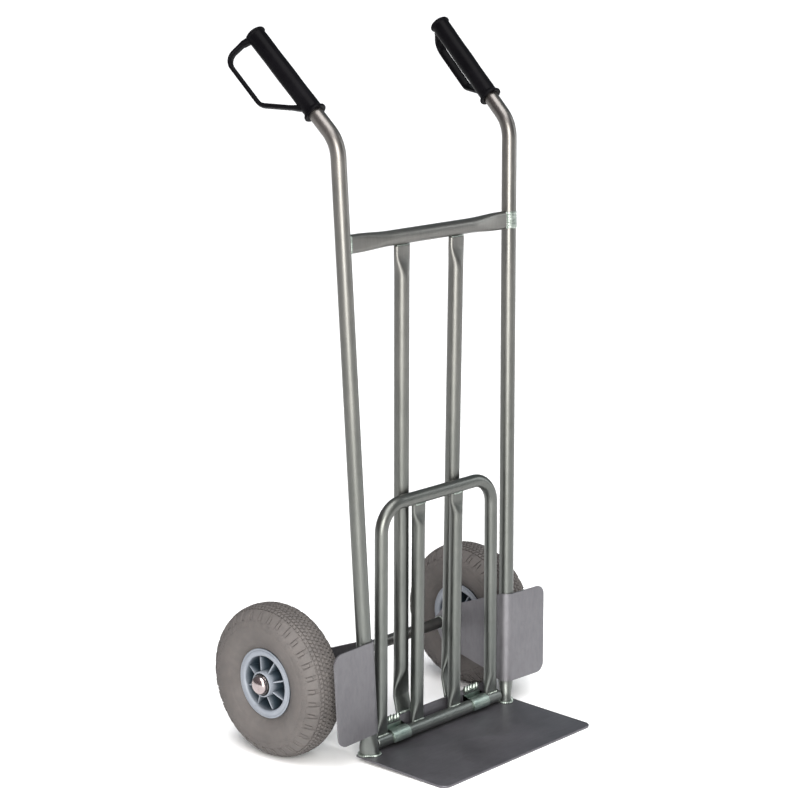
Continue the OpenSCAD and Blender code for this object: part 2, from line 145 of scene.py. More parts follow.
def section(c, wide, thin, r, squash, n):
    """A ring round c, pressed to the half thickness squash; it keeps the girth of radius r."""
    flat = max(0.0, (2 * pi * r - 2 * pi * squash) / 4)
    out = []
    for i in range(n):
        t = 2 * pi * (i + 0.5) / n
        s = 1 if cos(t) > 0 else -1
        out.append(c + (wide * (s * flat + squash * cos(t)) + thin * (squash * sin(t))) * MM)
    return out


def frame_along(path, wide0):
    """Unit tangents and a wide direction carried along the path."""
    tang = []
    for i in range(len(path)):
        a, b = path[max(0, i - 1)], path[min(len(path) - 1, i + 1)]
        tang.append((b - a).normalized())
    w = wide0 - tang[0] * wide0.dot(tang[0])
    w.normalize()
    wides = [w]
    for i in range(1, len(path)):
        q = tang[i - 1].rotation_difference(tang[i])
        w = q @ wides[-1]
        w = (w - tang[i] * w.dot(tang[i])).normalized()
        wides.append(w)
    return tang, wides


def sweep(name, path, r, squash, mat, wide0, n):
    """A tube along path. squash gives the half thickness at each point; r is one radius or a list."""
    tang, wides = frame_along(path, wide0)
    radii = r if isinstance(r, list) else [r] * len(path)
    rings = []
    for c, t, w, s, q in zip(path, tang, wides, squash, radii):
        rings.append(section(c, w, t.cross(w).normalized(), q, s, n))
    v, f = rings_to_mesh(rings)
    return link(name, v, f, mat)


def lathe(name, profile, axis_at, mat, side=1, n=96, sharp=30, closed=True):
    """profile is a list of (radius, offset) in millimetres, turned about the X line through axis_at."""
    rings = []
    for i in range(n):
        a = 2 * pi * i / n
        rings.append([axis_at + Vector((side * z, r * cos(a), r * sin(a))) * MM for r, z in profile])
    m = len(profile)
    verts = [v for r in rings for v in r]
    faces = []
    for i in range(n):
        a, b = i * m, ((i + 1) % n) * m
        for j in range(m if closed else m - 1):
            k = (j + 1) % m
            faces.append((a + j, a + k, b + k, b + j))
    ob = link(name, verts, faces, mat, sharp)
    bm = bmesh.new()
    bm.from_mesh(ob.data)
    bmesh.ops.remove_doubles(bm, verts=bm.verts, dist=1e-6)
    bmesh.ops.dissolve_degenerate(bm, edges=bm.edges, dist=1e-7)
    bmesh.ops.recalc_face_normals(bm, faces=bm.faces)
    bm.to_mesh(ob.data)
    bm.free()
    ob.data.set_sharp_from_angle(angle=radians(sharp))
    return ob


def bevel(ob, width, segments=2, angle=35):
    m = ob.modifiers.new("bevel", "BEVEL")
    m.width = width * MM
    m.segments = segments
    m.limit_method = "ANGLE"
    m.angle_limit = radians(angle)
    m.harden_normals = False
    return ob


def prism(name, outline, low, high, place, mat, bevel_w=0.0, segments=2):
    """A flat outline, in millimetres, given depth from low to high and put in place by a function."""
    n = len(outline)
    verts = [place(u, v, low) for u, v in outline] + [place(u, v, high) for u, v in outline]
    faces = [tuple(range(n - 1, -1, -1)), tuple(range(n, 2 * n))]
    for i in range(n):
        k = (i + 1) % n
        faces.append((i, k, n + k, n + i))
    ob = link(name, verts, faces, mat, 30)
    if bevel_w:
        bevel(ob, bevel_w, segments)
    return ob


def arc(cx, cy, r, a0, a1, n):
    angles = [a0 + (a1 - a0) * i / n for i in range(n + 1)]
    return [(cx + r * cos(a), cy + r * sin(a)) for a in angles]


def join(name, obs):
    """Joins objects of one material into one piece, with their modifiers applied."""
    dg = bpy.context.evaluated_depsgraph_get()
    bm = bmesh.new()
    for o in obs:
        o_eval = o.evaluated_get(dg)
        me = bpy.data.meshes.new_from_object(o_eval)
        me.transform(o.matrix_world)
        bm.from_mesh(me)
        bpy.data.meshes.remove(me)
    me = bpy.data.meshes.new(name)
    bm.to_mesh(me)
    bm.free()
    for m in obs[0].data.materials:
        me.materials.append(m)
    for o in obs:
        bpy.data.objects.remove(o, do_unlink=True)
    for p in me.polygons:
        p.use_smooth = True
    me.set_sharp_from_angle(angle=radians(32))
    ob = bpy.data.objects.new(name, me)
    bpy.context.scene.collection.objects.link(ob)
    return ob


# ---------------------------------------------------------------- materials


class Nodes:
    """A short way to build the nodes of a material or of the world."""

    def __init__(self, owner):
        owner.use_nodes = True
        self.t = owner.node_tree
        self.t.nodes.clear()
        self.coord = self.add("ShaderNodeTexCoord")

    def add(self, kind, **values):
        n = self.t.nodes.new(kind)
        for k, v in values.items():
            setattr(n, k, v)
        return n

    def join(self, a, out, b, socket):
        self.t.links.new(a.outputs[out], b.inputs[socket])

    def noise(self, scale, detail=3.0, rough=0.55, stretch=(1, 1, 1), distortion=0.0):
        m = self.add("ShaderNodeMapping")
        m.inputs["Scale"].default_value = stretch
        self.join(self.coord, "Object", m, "Vector")
        n = self.add("ShaderNodeTexNoise")
        n.inputs["Scale"].default_value = scale
        n.inputs["Detail"].default_value = detail
        n.inputs["Roughness"].default_value = rough
        n.inputs["Distortion"].default_value = distortion
        self.join(m, "Vector", n, "Vector")
        return n

    def ramp(self, source, socket, stops):
        r = self.add("ShaderNodeValToRGB")
        while len(r.color_ramp.elements) < len(stops):
            r.color_ramp.elements.new(0.5)
        for e, (pos, col) in zip(r.color_ramp.elements, stops):
            e.position = pos
            e.color = (*col, 1)
        self.join(source, socket, r, "Fac")
        return r

    def span(self, source, socket, lo, hi, from_lo=0.3, from_hi=0.7):
        m = self.add("ShaderNodeMapRange")
        m.inputs["From Min"].default_value = from_lo
        m.inputs["From Max"].default_value = from_hi
        m.inputs["To Min"].default_value = lo
        m.inputs["To Max"].default_value = hi
        self.join(source, socket, m, "Value")
        return m

    def mix(self, kind, fac, a, a_out, b, b_out):
        m = self.add("ShaderNodeMix", data_type="RGBA", blend_type=kind)
        m.inputs[0].default_value = fac
        self.join(a, a_out, m, 6)
        self.join(b, b_out, m, 7)
        return m

    def bump(self, source, socket, strength, distance, after=None):
        b = self.add("ShaderNodeBump")
        b.inputs["Strength"].default_value = strength
        b.inputs["Distance"].default_value = distance
        self.join(source, socket, b, "Height")
        if after:
            self.join(after, "Normal", b, "Normal")
        return b


class Shader(Nodes):
    """A material with one surface."""

    def __init__(self, name):
        self.mat = bpy.data.materials.new(name)
        super().__init__(self.mat)
        self.bsdf = self.add("ShaderNodeBsdfPrincipled")
        self.join(self.bsdf, "BSDF", self.add("ShaderNodeOutputMaterial"), "Surface")


def metal(name, dark, light, rough, metallic=1.0, blotch=9.0, grain=260.0, stretch=(1, 1, 0.15),
          bump=0.12, spots=0.0, heights=None):
    """Bare or plated steel: broad tones, drawn grain, small stains, and, if given, a painted light that
    scales the colour with height.
    """
    k = Shader(name)
    broad = k.noise(blotch, 4, 0.6)
    fine = k.noise(grain, 3, 0.6, stretch)
    tone = k.ramp(broad, "Fac", [(0.3, dark), (0.72, light)])
    grey = k.ramp(fine, "Fac", [(0.3, (0.82, 0.82, 0.82)), (0.7, (1.0, 1.0, 1.0))])
    col = k.mix("MULTIPLY", 0.7, tone, "Color", grey, "Color")
    # painted light: the colour is scaled by height, brighter at the hinge tube and towards the grips,
    # as the lamps light the tubes
    if heights:
        split = k.add("ShaderNodeSeparateXYZ")
        k.join(k.coord, "Object", split, "Vector")
        level = k.span(split, "Z", 0.0, 1.0, 0.0, 1.2)
        tint = k.ramp(level, "Result", heights)
        col = k.mix("MULTIPLY", 1.0, col, 2, tint, "Color")
    if spots:
        stain = k.noise(46, 5, 0.7, distortion=0.6)
        mask = k.ramp(stain, "Fac", [(0.0, (1, 1, 1)), (0.56, (1, 1, 1)), (0.72, (0.62, 0.58, 0.53))])
        col = k.mix("MULTIPLY", spots, col, 2, mask, "Color")
    k.join(col, 2, k.bsdf, "Base Color")
    rough_map = k.span(broad, "Fac", rough * 0.85, rough * 1.2)
    k.join(rough_map, "Result", k.bsdf, "Roughness")
    b1 = k.bump(fine, "Fac", bump, 0.0004)
    b2 = k.bump(broad, "Fac", 0.1, 0.001, b1)
    k.join(b2, "Normal", k.bsdf, "Normal")
    k.bsdf.inputs["Metallic"].default_value = metallic
    return k.mat


def plastic(name, dark, light, rough, grain=900.0, bump=0.15, painted_recess_shade=None, gloss=0.5):
    """Moulded plastic; if a recess colour is given, ambient occlusion darkens the recesses towards it
    as painted shade.
    """
    k = Shader(name)
    broad = k.noise(24, 4, 0.6)
    fine = k.noise(grain, 2, 0.5)
    tone = k.ramp(broad, "Fac", [(0.3, dark), (0.7, light)])
    if painted_recess_shade:
        # painted shade: ambient occlusion darkens the colour in recesses, where shade falls
        hollow = k.add("ShaderNodeAmbientOcclusion", samples=8)
        hollow.inputs["Distance"].default_value = 0.03
        shade = k.ramp(hollow, "AO", [(0.25, painted_recess_shade), (0.8, (1, 1, 1))])
        col = k.mix("MULTIPLY", 1.0, tone, "Color", shade, "Color")
        k.join(col, 2, k.bsdf, "Base Color")
    else:
        k.join(tone, "Color", k.bsdf, "Base Color")
    k.join(k.span(broad, "Fac", rough * 0.85, rough * 1.2), "Result", k.bsdf, "Roughness")
    k.bsdf.inputs["Specular IOR Level"].default_value = gloss
    b = k.bump(fine, "Fac", bump, 0.0003)
    k.join(b, "Normal", k.bsdf, "Normal")
    return k.mat


def foam(name):
    """Matt polyurethane foam: mottled warm grey, finely pitted."""
    k = Shader(name)
    broad = k.noise(14, 5, 0.65)
    mid_n = k.noise(90, 4, 0.6)
    fine = k.noise(1400, 2, 0.5)
    tone = k.ramp(broad, "Fac", [(0.28, (0.073, 0.067, 0.065)), (0.5, (0.087, 0.08, 0.0775)),
                                 (0.75, (0.102, 0.094, 0.091))])
    mott = k.ramp(mid_n, "Fac", [(0.3, (0.8, 0.8, 0.8)), (0.7, (1.08, 1.06, 1.04))])
    col = k.mix("MULTIPLY", 0.8, tone, "Color", mott, "Color")
    k.join(col, 2, k.bsdf, "Base Color")
    k.join(k.span(mid_n, "Fac", 0.68, 0.9), "Result", k.bsdf, "Roughness")
    b1 = k.bump(fine, "Fac", 0.35, 0.0004)
    b2 = k.bump(mid_n, "Fac", 0.3, 0.0008, b1)
    k.join(b2, "Normal", k.bsdf, "Normal")
    k.bsdf.inputs["Specular IOR Level"].default_value = 0.35
    return k.mat


# painted light by height (z over 1.2 m): brighter at the hinge tube and towards the grips, darker in
# between; greener low, warmer high
TUBE_HEIGHT_LIGHT = [(0.0, (0.86, 0.91, 0.89)), (0.06, (0.69, 0.735, 0.715)), (0.4, (0.67, 0.68, 0.655)),
              (0.6, (0.73, 0.72, 0.695)), (0.77, (0.82, 0.79, 0.765)), (0.92, (0.83, 0.755, 0.735))]
TUBE = metal("tube_steel", (0.156, 0.159, 0.155), (0.202, 0.203, 0.197), 0.36, metallic=0.95,
             spots=0.2, heights=TUBE_HEIGHT_LIGHT)
TOE = metal("toe_steel", (0.096, 0.093, 0.103), (0.143, 0.139, 0.153), 0.42, metallic=0.8,
            blotch=7, grain=180, stretch=(0.2, 1, 1), spots=0.35)
BRACKET = metal("bracket_steel", (0.137, 0.134, 0.144), (0.182, 0.179, 0.191), 0.46, metallic=0.8,
                blotch=11, grain=220, stretch=(1, 1, 0.3), spots=0.25)
ZINC = metal("zinc_steel", (0.2, 0.25, 0.225), (0.34, 0.4, 0.36), 0.38, blotch=60, grain=400,
             stretch=(1, 1, 1), bump=0.2, spots=0.4)
WELD = metal("weld_metal", (0.17, 0.2, 0.18), (0.38, 0.42, 0.385), 0.42, blotch=120, grain=700,
             stretch=(1, 1, 1), bump=0.35, spots=0.5)
AXLE = metal("axle_steel", (0.08, 0.08, 0.076), (0.14, 0.138, 0.13), 0.38, metallic=0.9,
             stretch=(0.1, 1, 1), spots=0.3)
CHROME = metal("cap_chrome", (0.36, 0.31, 0.31), (0.45, 0.39, 0.39), 0.2, blotch=30, bump=0.03)
# the rim's web and recesses get painted shade
RIM = plastic("rim_plastic", (0.168, 0.188, 0.218), (0.222, 0.24, 0.272), 0.4,
              painted_recess_shade=(0.085, 0.125, 0.15))
GRIP = plastic("grip_plastic", (0.0018, 0.0017, 0.0022), (0.0036, 0.0034, 0.0042), 0.34,
               grain=1500, bump=0.12, gloss=0.03)
FOAM = foam("tyre_foam")

# ---------------------------------------------------------------- frame tubes


def on_bend(angle):
    """Middle of the tube at an angle round the bend, in the upright's own axes."""
    return Vector((0, BEND_R * (1 - cos(angle)), BEND_Z + BEND_R * sin(angle))) * MM


# axes along the right upright: as the brackets use them, as the bend does, and past the bend
ALONG = (Matrix.Translation(P(FOOT_X, FOOT_Y, 0)) @ Matrix.Rotation(SPLAY, 4, "Y")
         @ Matrix.Rotation(LEAN, 4, "X"))
AX = ALONG @ Matrix.Rotation(-TWIST, 4, "Z")
BENT = AX @ Matrix.Translation(on_bend(BEND)) @ Matrix.Rotation(-BEND, 4, "X")


def upright(side):
    """From the pressed foot, round the bend and up inside the grip."""
    foot0, foot1, foot2 = 12.6, 24.0, 50.0
    thin0, girth_r = FOOT_THIN / 2, 14.0
    zs, squash = [], []
    for z in (foot0, 16, 20, foot1):
        zs.append(z)
        squash.append(thin0)
    for i in range(1, 15):
        t = i / 14
        zs.append(foot1 + (foot2 - foot1) * t)
        squash.append(thin0 + (TUBE_R - thin0) * smooth01(t))
    z = foot2
    while z < BEND_Z - 40:
        z += 60
        zs.append(min(z, BEND_Z - 2))
        squash.append(TUBE_R)
    path = [AX @ Vector((0, 0, z * MM)) for z in zs]
    for i in range(0, 19):
        a = BEND * i / 18
        path.append(AX @ on_bend(a))
        squash.append(TUBE_R)
    for s in (20, GRIP_FROM, 60, GRIP_LEN - 10):
        path.append(BENT @ Vector((0, 0, s * MM)))
        squash.append(TUBE_R)
    path = [flip(v, side) for v in path]
    radii = [TUBE_R + (girth_r - TUBE_R) * (TUBE_R - q) / (TUBE_R - thin0) for q in squash]
    wide = AX.to_3x3() @ Vector((cos(pi / 4), sin(pi / 4), 0))
    return sweep("upright_tube_" + LETTER[side], path, radii, squash, TUBE, flip(wide, side), 56)


def crossbar():
    """Round in the middle, pressed and flared where it meets each upright."""
    pressed, start, stop = 7.6, 96.0, 170.0
    half = [0, 40, 70, start]
    half += [start + (172 - start) * i / 20 for i in range(1, 21)] + [178, CROSS_X - 8]
    xs = [-v for v in reversed(half[1:])] + half
    squash = [TUBE_R + (pressed - TUBE_R) * smooth01((abs(x) - start) / (stop - start)) for x in xs]
    path = [P(x, CROSS_Y, CROSS_Z) for x in xs]
    return sweep("crossbar_tube", path, TUBE_R, squash, TUBE, Vector((0, 0, 1)), 56)


def curve_through(points, radius, steps=8):
    """A path with each inner corner rounded, in millimetres."""
    out = [points[0]]
    for i in range(1, len(points) - 1):
        a, b, c = points[i - 1], points[i], points[i + 1]
        u, w = (a - b).normalized(), (c - b).normalized()
        ang = u.angle(w)
        t = radius / tan(ang / 2)
        p, q = b + u * t, b + w * t
        centre = b + (u + w).normalized() * (radius / sin(ang / 2))
        for k in range(steps + 1):
            out.append(centre + (p - centre).slerp(q - centre, k / steps) * radius)
    out.append(points[-1])
    return out


def ladder_bar(side):
    """Pressed flat at both ends; the lower end turns forward to the back of the lip."""
    top, low = Vector(LADDER_TOP), Vector(LADDER_LOW)
    end = Vector((low.x, LIP_Y + LIP_T + 2.8, 37.0))
    d = (top - low).normalized()
    total = (top - low).length
    # the presses, measured down from the top: where each begins and how long it takes
    thin_top, flat, swell = 5.2, 12, 40
    thin_low, press_at, press_run = 2.6, total - 50, 43
    cuts = [0, 2, 8, flat] + [flat + swell * i / 20 for i in range(1, 21)]
    cuts += [70, 120, 200, 300, 400, 500, 600, total - 60]
    cuts += [press_at + press_run * i / 20 for i in range(0, 21)] + [total - 4]
    path, squash = [], []
    for s in cuts:
        path.append(top - d * s)
        if s <= flat + swell:
            q = thin_top + (TUBE_R - thin_top) * smooth01((s - flat) / swell)
        elif s > press_at:
            q = TUBE_R + (thin_low - TUBE_R) * smooth01((s - press_at) / press_run)
        else:
            q = TUBE_R
        squash.append(q)
    for p in curve_through([top, low, end], 6.0, 8)[1:]:
        if (p - path[-1]).length > 0.5:
            path.append(p)
            squash.append(thin_low)
    path = [flip(P(*p), side) for p in path]
    return sweep("ladder_tube_" + LETTER[side], path, TUBE_R, squash, TUBE, Vector((1, 0, 0)), 56)


# ---------------------------------------------------------------- folding frame

FOLD_LEAN = atan((FOLD_LOW_Y - FOLD_TOP_Y) / (FOLD_TOP_Z - HINGE_Z))
FOLD_PLANE = Matrix.Translation(P(0, FOLD_LOW_Y, HINGE_Z)) @ Matrix.Rotation(FOLD_LEAN, 4, "X")
PLANE_TOP = (FOLD_TOP_Z - HINGE_Z) / cos(FOLD_LEAN)


def F(x, y, z):
    """A point given in millimetres in the folding frame's own plane, from the hinge line up."""
    return FOLD_PLANE @ (Vector((x, y, z)) * MM)


# where a leg's or bar's lower end is cut in sections, above the hinge line
FOOT_CUTS = [6, 9] + [9 + 40 * i / 14 for i in range(1, 15)]


def press_foot(z, z0=9.0, z1=48.0, left=4.6):
    """Half thickness of a leg's foot at height z above the hinge line."""
    return left + (FOLD_R - left) * smooth01((z - z0) / (z1 - z0))


def hoop():
    """Both legs and the top bar, one bent tube."""
    pts = [Vector((-FOLD_FOOT_X, 0, 0)), Vector((-FOLD_TOP_X, 0, PLANE_TOP)),
           Vector((FOLD_TOP_X, 0, PLANE_TOP)), Vector((FOLD_FOOT_X, 0, 0))]
    line = curve_through(pts, FOLD_CORNER, 20)
    path, squash = [], []
    zs = FOOT_CUTS + [80, 120, 180, 240, 300]
    for z in zs:
        path.append(pts[0].lerp(pts[1], z / PLANE_TOP))
        squash.append(press_foot(z))
    for p in line[1:-1]:
        path.append(p)
        squash.append(FOLD_R)
    for z in reversed(zs):
        path.append(pts[3].lerp(pts[2], z / PLANE_TOP))
        squash.append(press_foot(z))
    path = [F(*p) for p in path]
    return sweep("fold_hoop_tube", path, FOLD_R, squash, TUBE, Vector((1, 0, 0)), 52)


def fold_bar(side):
    """An inner bar, pressed at the hinge tube and under the hoop."""
    a, b = Vector((BAR_X * side, BAR_BACK, 0)), Vector((BAR_X * side, 0, PLANE_TOP))
    top = PLANE_TOP - 6
    press_at, press_end, thin = 350, top - 16, 4.2
    zs = FOOT_CUTS + [90, 150, 210, 270, 320]
    zs += [press_at + (press_end - press_at) * i / 14 for i in range(0, 15)] + [top - 8, top]
    path, squash = [], []
    for z in zs:
        path.append(F(*a.lerp(b, z / PLANE_TOP)))
        if z >= press_at:
            t = smooth01((z - press_at) / (press_end - press_at))
            squash.append(FOLD_R + (thin - FOLD_R) * t)
        else:
            squash.append(press_foot(z))
    return sweep("fold_bar_tube_" + LETTER[side], path, FOLD_R, squash, TUBE, Vector((1, 0, 0)), 52)


def hinge_tube():
    half, inner = HINGE_HALF, FOLD_R - WALL
    prof = [(FOLD_R - 0.5, -half), (FOLD_R, -half + 0.5), (FOLD_R, half - 0.5), (FOLD_R - 0.5, half),
            (inner, half), (inner, -half)]
    return lathe("hinge_tube_body", prof, P(0, 0, HINGE_Z), TUBE, n=64)


# ---------------------------------------------------------------- plates and straps


def toe_plate():
    slope = Matrix.Translation(P(0, -TOE_REACH, 0)) @ Matrix.Rotation(TOE_TILT, 4, "X")

    def place(u, v, w):
        return slope @ (Vector((u, v, w)) * MM)

    c, w, back = TOE_CORNER, TOE_HALF, TOE_REACH + LIP_Y + LIP_T - 6
    out = arc(-w + c, c, c, pi, 1.5 * pi, 10) + arc(w - c, c, c, 1.5 * pi, 2 * pi, 10)
    out += [(w, back), (-w, back)]
    plate = prism("toe_flat", out, 0, TOE_T, place, TOE, 0.7, 3)
    # the lip: the sheet rolls up behind the folding frame
    r_in, y0, z0 = 4.0, LIP_Y + LIP_T, TOE_RISE + 0.3
    tail, drop = y0 - 40, 1.7
    cy, cz = y0 - TOE_T - r_in, z0 + TOE_T + r_in
    inner = [(tail, z0 + TOE_T - drop)] + arc(cy, cz, r_in, -pi / 2, 0, 8) + [(y0 - TOE_T, LIP_TOP)]
    outer = [(tail, z0 - drop)] + arc(cy, cz, r_in + TOE_T, -pi / 2, 0, 8) + [(y0, LIP_TOP)]

    def place_lip(u, v, w):
        return P(w, u, v)

    lip = prism("toe_lip", inner + outer[::-1], -LIP_HALF, LIP_HALF, place_lip, TOE, 0.7, 3)
    return join("toe_plate_sheet", [plate, lip])


def along_line(points, y):
    """Height of a broken line, given as (y, z) points, at y."""
    for (y0, z0), (y1, z1) in zip(points, points[1:]):
        if y <= y1:
            return z0 + (z1 - z0) * (y - y0) / (y1 - y0)
    return points[-1][1]


def bracket(side):
    """One sheet bent round the upright: flange in front, side plate back to the axle."""
    mid_r = TUBE_R + 0.4 + BRACKET_T / 2
    z_low, z_high, corner = FLANGE_LOW, FLANGE_HIGH, FLANGE_CORNER
    axle_y, axle_z, tail_r = WHEEL_Y - FOOT_Y + 0.5, WHEEL_Z - 0.9, 14.0
    # upper and lower edge of the side plate, as (y, z)
    top = [(0, z_high), (2, z_high - 1.2), (axle_y - 8, 159), (axle_y + 6, axle_z + 12.6)]
    low = [(0, z_low), (8, z_low + 4), (24, z_low + 12.7), (axle_y - 10, 91),
           (axle_y + 6, axle_z - 12.6)]
    cols = []
    # flange from its outer edge in to the bend
    for u in [0, 0.4, 1.2, 2.6, 4.5, 7, 10, 13.5, corner, 30, 50, 70, 80]:
        cut = corner - sqrt(max(0, corner ** 2 - max(0, corner - u) ** 2))
        cols.append((Vector((FLANGE_W - u, -mid_r)), Vector((0, -1)), z_low + cut, z_high - cut))
    # the bend follows the tube
    for i in range(0, 17):
        a = pi / 2 * i / 16
        nor = Vector((-sin(a), -cos(a)))
        cols.append((nor * mid_r, nor, z_low, z_high))
    # side plate from the bend back to a rounded tail round the axle
    ys = [1, 2, 5, 8, 12, 16, 20, 24] + [24 + (axle_y - 34) * i / 12 for i in range(1, 13)]
    ys += [axle_y - 8, axle_y - 5, axle_y - 2, axle_y + 2, axle_y + 6]
    ys += [axle_y + 6 + 8 * v for v in (0.25, 0.5, 0.7, 0.85, 0.95, 0.995)]
    for y in ys:
        if y > axle_y + 6:
            h = sqrt(max(0.0, tail_r ** 2 - (y - axle_y) ** 2))
            lo, hi = axle_z - h, axle_z + h
        else:
            lo, hi = along_line(low, y), along_line(top, y)
        cols.append((Vector((-mid_r, y)), Vector((-1, 0)), lo, hi))
    rows = 10
    rings = []
    for pos, nor, lo, hi in cols:
        ring = []
        for face, order in ((1, range(rows + 1)), (-1, range(rows, -1, -1))):
            q = pos + nor * (face * BRACKET_T / 2)
            for j in order:
                z = lo + (hi - lo) * j / rows
                ring.append(flip(ALONG @ (Vector((q.x, q.y, z)) * MM), side))
        rings.append(ring)
    v, f = rings_to_mesh(rings)
    return bevel(link("axle_bracket_sheet_" + LETTER[side], v, f, BRACKET, 40), 0.6, 2, 50)


def strap(side):
    """A saddle over the hinge tube with a tab up the lip."""
    r_in, tab_top = FOLD_R + 0.05, 17.0
    r_out = r_in + STRAP_T
    angles = [radians(v) for v in range(0, 209, 8)]
    outline = [(r_out * cos(a), r_out * sin(a)) for a in reversed(angles)]
    outline += [(r_out, tab_top), (r_in, tab_top)]
    outline += [(r_in * cos(a), r_in * sin(a)) for a in angles]

    def place(u, v, w):
        return flip(P(w, u, HINGE_Z + v), side)

    return prism("hinge_strap_sheet_" + LETTER[side], outline, STRAP_IN, STRAP_OUT, place, ZINC, 0.6, 2)


# ---------------------------------------------------------------- weld beads


def weld(name, path, r, wide0, pitch=3.4, depth=0.28, squash=1.0, seed=0.0, n=20):
    """A rippled bead along path, in millimetres; r is its half width."""
    fine = []
    for i in range(len(path) - 1):
        a, b = path[i], path[i + 1]
        steps = max(1, int((b - a).length / 0.55))
        for k in range(steps):
            fine.append(a.lerp(b, k / steps))
    fine.append(path[-1])
    pts = [P(*p) for p in fine]
    tang, wides = frame_along(pts, wide0)
    rings, run = [], 0.0
    total = sum((fine[i + 1] - fine[i]).length for i in range(len(fine) - 1))
    for i, (c, t, w) in enumerate(zip(pts, tang, wides)):
        if i:
            run += (fine[i] - fine[i - 1]).length
        phase = (run / pitch + seed) % 1.0
        ripple = 1 - depth * phase ** 2
        wob = 1 + 0.12 * noise.noise(Vector((run * 0.13, seed * 7.1, 0.3)))
        end = min(1.0, 0.35 + 0.65 * sqrt(max(0.0, min(run, total - run)) / (r * 1.2)))
        q = r * ripple * wob * end
        thin = t.cross(w).normalized()
        ring = []
        for j in range(n):
            a = 2 * pi * j / n
            lean = -0.5 * abs(cos(a)) * r * 0.5
            ring.append(c + (w * (q * cos(a)) + thin * (q * squash * sin(a)) + t * lean) * MM)
        rings.append(ring)
    v, f = rings_to_mesh(rings)
    return link(name, v, f, WELD, 60)


def foot_weld(side):
    """A ring of weld round an upright's oval foot, on the sloping plate."""
    path = []
    out = 1.4
    wide, thin = FOOT_WIDE / 2 + out, FOOT_THIN / 2 + out
    n = 40
    for i in range(n + 1):
        a = 2 * pi * i / n
        s = 1 if cos(a) > 0 else -1
        u = s * (wide - thin) + thin * cos(a)
        v = thin * sin(a)
        x = u * cos(pi / 4) - v * sin(pi / 4)
        y = FOOT_Y + u * sin(pi / 4) + v * cos(pi / 4)
        z = TOE_T + (y + TOE_REACH) * tan(TOE_TILT) + 1.2
        path.append(Vector(((FOOT_X + 0.4 + x) * side, y, z)))
    return weld("foot_bead", path, 2.3, Vector((1, 0, 0)), seed=0.2 * side)


def seam(name, at, half, r, side, seed):
    """A straight bead that runs half its length to each side of at, across the truck."""
    ends = [Vector(((at[0] + u) * side, at[1], at[2])) for u in (-half, half)]
    return weld(name, ends, r, Vector((0, 1, 0)), seed=seed)


def strap_beads(side):
    """A broad, coarse weld from the strap's tab to the lip: five thick upright ripples."""
    out = []
    for i in range(5):
        x = (STRAP_IN + 6 + 7 * i) * side
        ends = [Vector((x + 0.6 * sin(i * 2.4), LIP_Y - 0.5, z))
                for z in (LIP_TOP - 5.6, LIP_TOP + 6.6 + 0.5 * cos(i * 3.1))]
        out.append(weld("strap_bead", ends, 4.3, Vector((1, 0, 0)), pitch=30, depth=0.2, squash=1.15,
                        seed=0.13 * i))
    return out


def cross_beads(side):
    """The crossbar's end to the upright, one bead in front and one behind."""
    out = []
    x = CROSS_X - TUBE_R + 0.5
    for dy in (-6.0, 6.0):
        path = [Vector(((x - dz ** 2 * 0.001) * side, CROSS_Y + dy, CROSS_Z + dz))
                for dz in (-14, -7, 0, 7, 14)]
        out.append(weld("cross_bead", path, 2.6, Vector((0, 1, 0)), seed=0.4 * dy))
    return out


def wrap_beads(side):
    """The crossbar's weld carried round the front of the upright, pass over pass."""
    out = []
    r = 12.3
    for k, dz in enumerate((-11.5, -6.9, -2.3, 2.3, 6.9, 11.5)):
        path = []
        for v in range(-188, -22, 5):
            a = radians(v)
            z = CROSS_Z + dz + 0.5 * sin(5 * a + k)
            path.append(Vector(((CROSS_X + r * cos(a)) * side, CROSS_Y + r * sin(a), z)))
        out.append(weld("wrap_bead", path, 3.0, Vector((0, 0, 1)), pitch=3.1, depth=0.3, squash=0.42,
                        seed=0.21 * k))
    return out


def bracket_beads(side):
    """The flange to the upright at three heights, and the side plate round the axle."""
    out = []
    for z0 in (74, 128, 176):
        x = FOOT_X + z0 * tan(SPLAY) + 8.6
        path = [Vector((x * side, FOOT_Y - 11.6, z0 + dz)) for dz in (0, 24)]
        out.append(weld("flange_bead", path, 2.3, Vector((1, 0, 0)), seed=z0 * 0.1))
    r, x = 10.6, 159.6
    ring = [Vector((x * side, WHEEL_Y + r * cos(a), WHEEL_Z + r * sin(a)))
            for a in [2 * pi * i / 28 for i in range(29)]]
    out.append(weld("axle_bead", ring, 1.5, Vector((1, 0, 0)), seed=0.7))
    return out


def frame_beads():
    out = []
    for s in (-1, 1):
        out.append(foot_weld(s))
        out += strap_beads(s)
        tongue = (LADDER_LOW[0], LIP_Y + LIP_T + 1.5, LIP_TOP + 0.2)
        out.append(seam("tongue_bead", tongue, 14, 2.6, s, 0.1))
        out += cross_beads(s)
        if s > 0:
            out += wrap_beads(s)
        for dy in (-3.4, 3.4):
            under = (LADDER_TOP[0], CROSS_Y + dy, CROSS_Z - TUBE_R - 1.0)
            out.append(seam("ladder_bead", under, 15, 1.3, s, 0.3 * dy))
        out += bracket_beads(s)
    return join("frame_weld_beads", out)


def fold_beads():
    """Seams of the legs and bars on the hinge tube, and of the bars under the hoop."""
    out = []

    def at(x, y, z):
        v = Matrix.Rotation(FOLD_LEAN, 3, "X") @ Vector((x, y, z))
        return Vector((v.x, v.y + FOLD_LOW_Y, v.z + HINGE_Z))

    for s in (-1, 1):
        for x, dy, dz in ((FOLD_FOOT_X, -6.0, 10.2), (FOLD_FOOT_X, 6.0, 7.2),
                          (BAR_X, -1.8, 10.4), (BAR_X, 7.6, 4.4)):
            out.append(seam("foot_seam", at(x, dy, dz), 12, 2.1, s, x * 0.1 + dy))
        for dy in (-4.8, 4.8):
            out.append(seam("top_seam", at(BAR_X, dy, PLANE_TOP - 10.6), 12, 1.9, s, 0.2 + dy))
    return join("fold_weld_beads", out)


# ---------------------------------------------------------------- grips


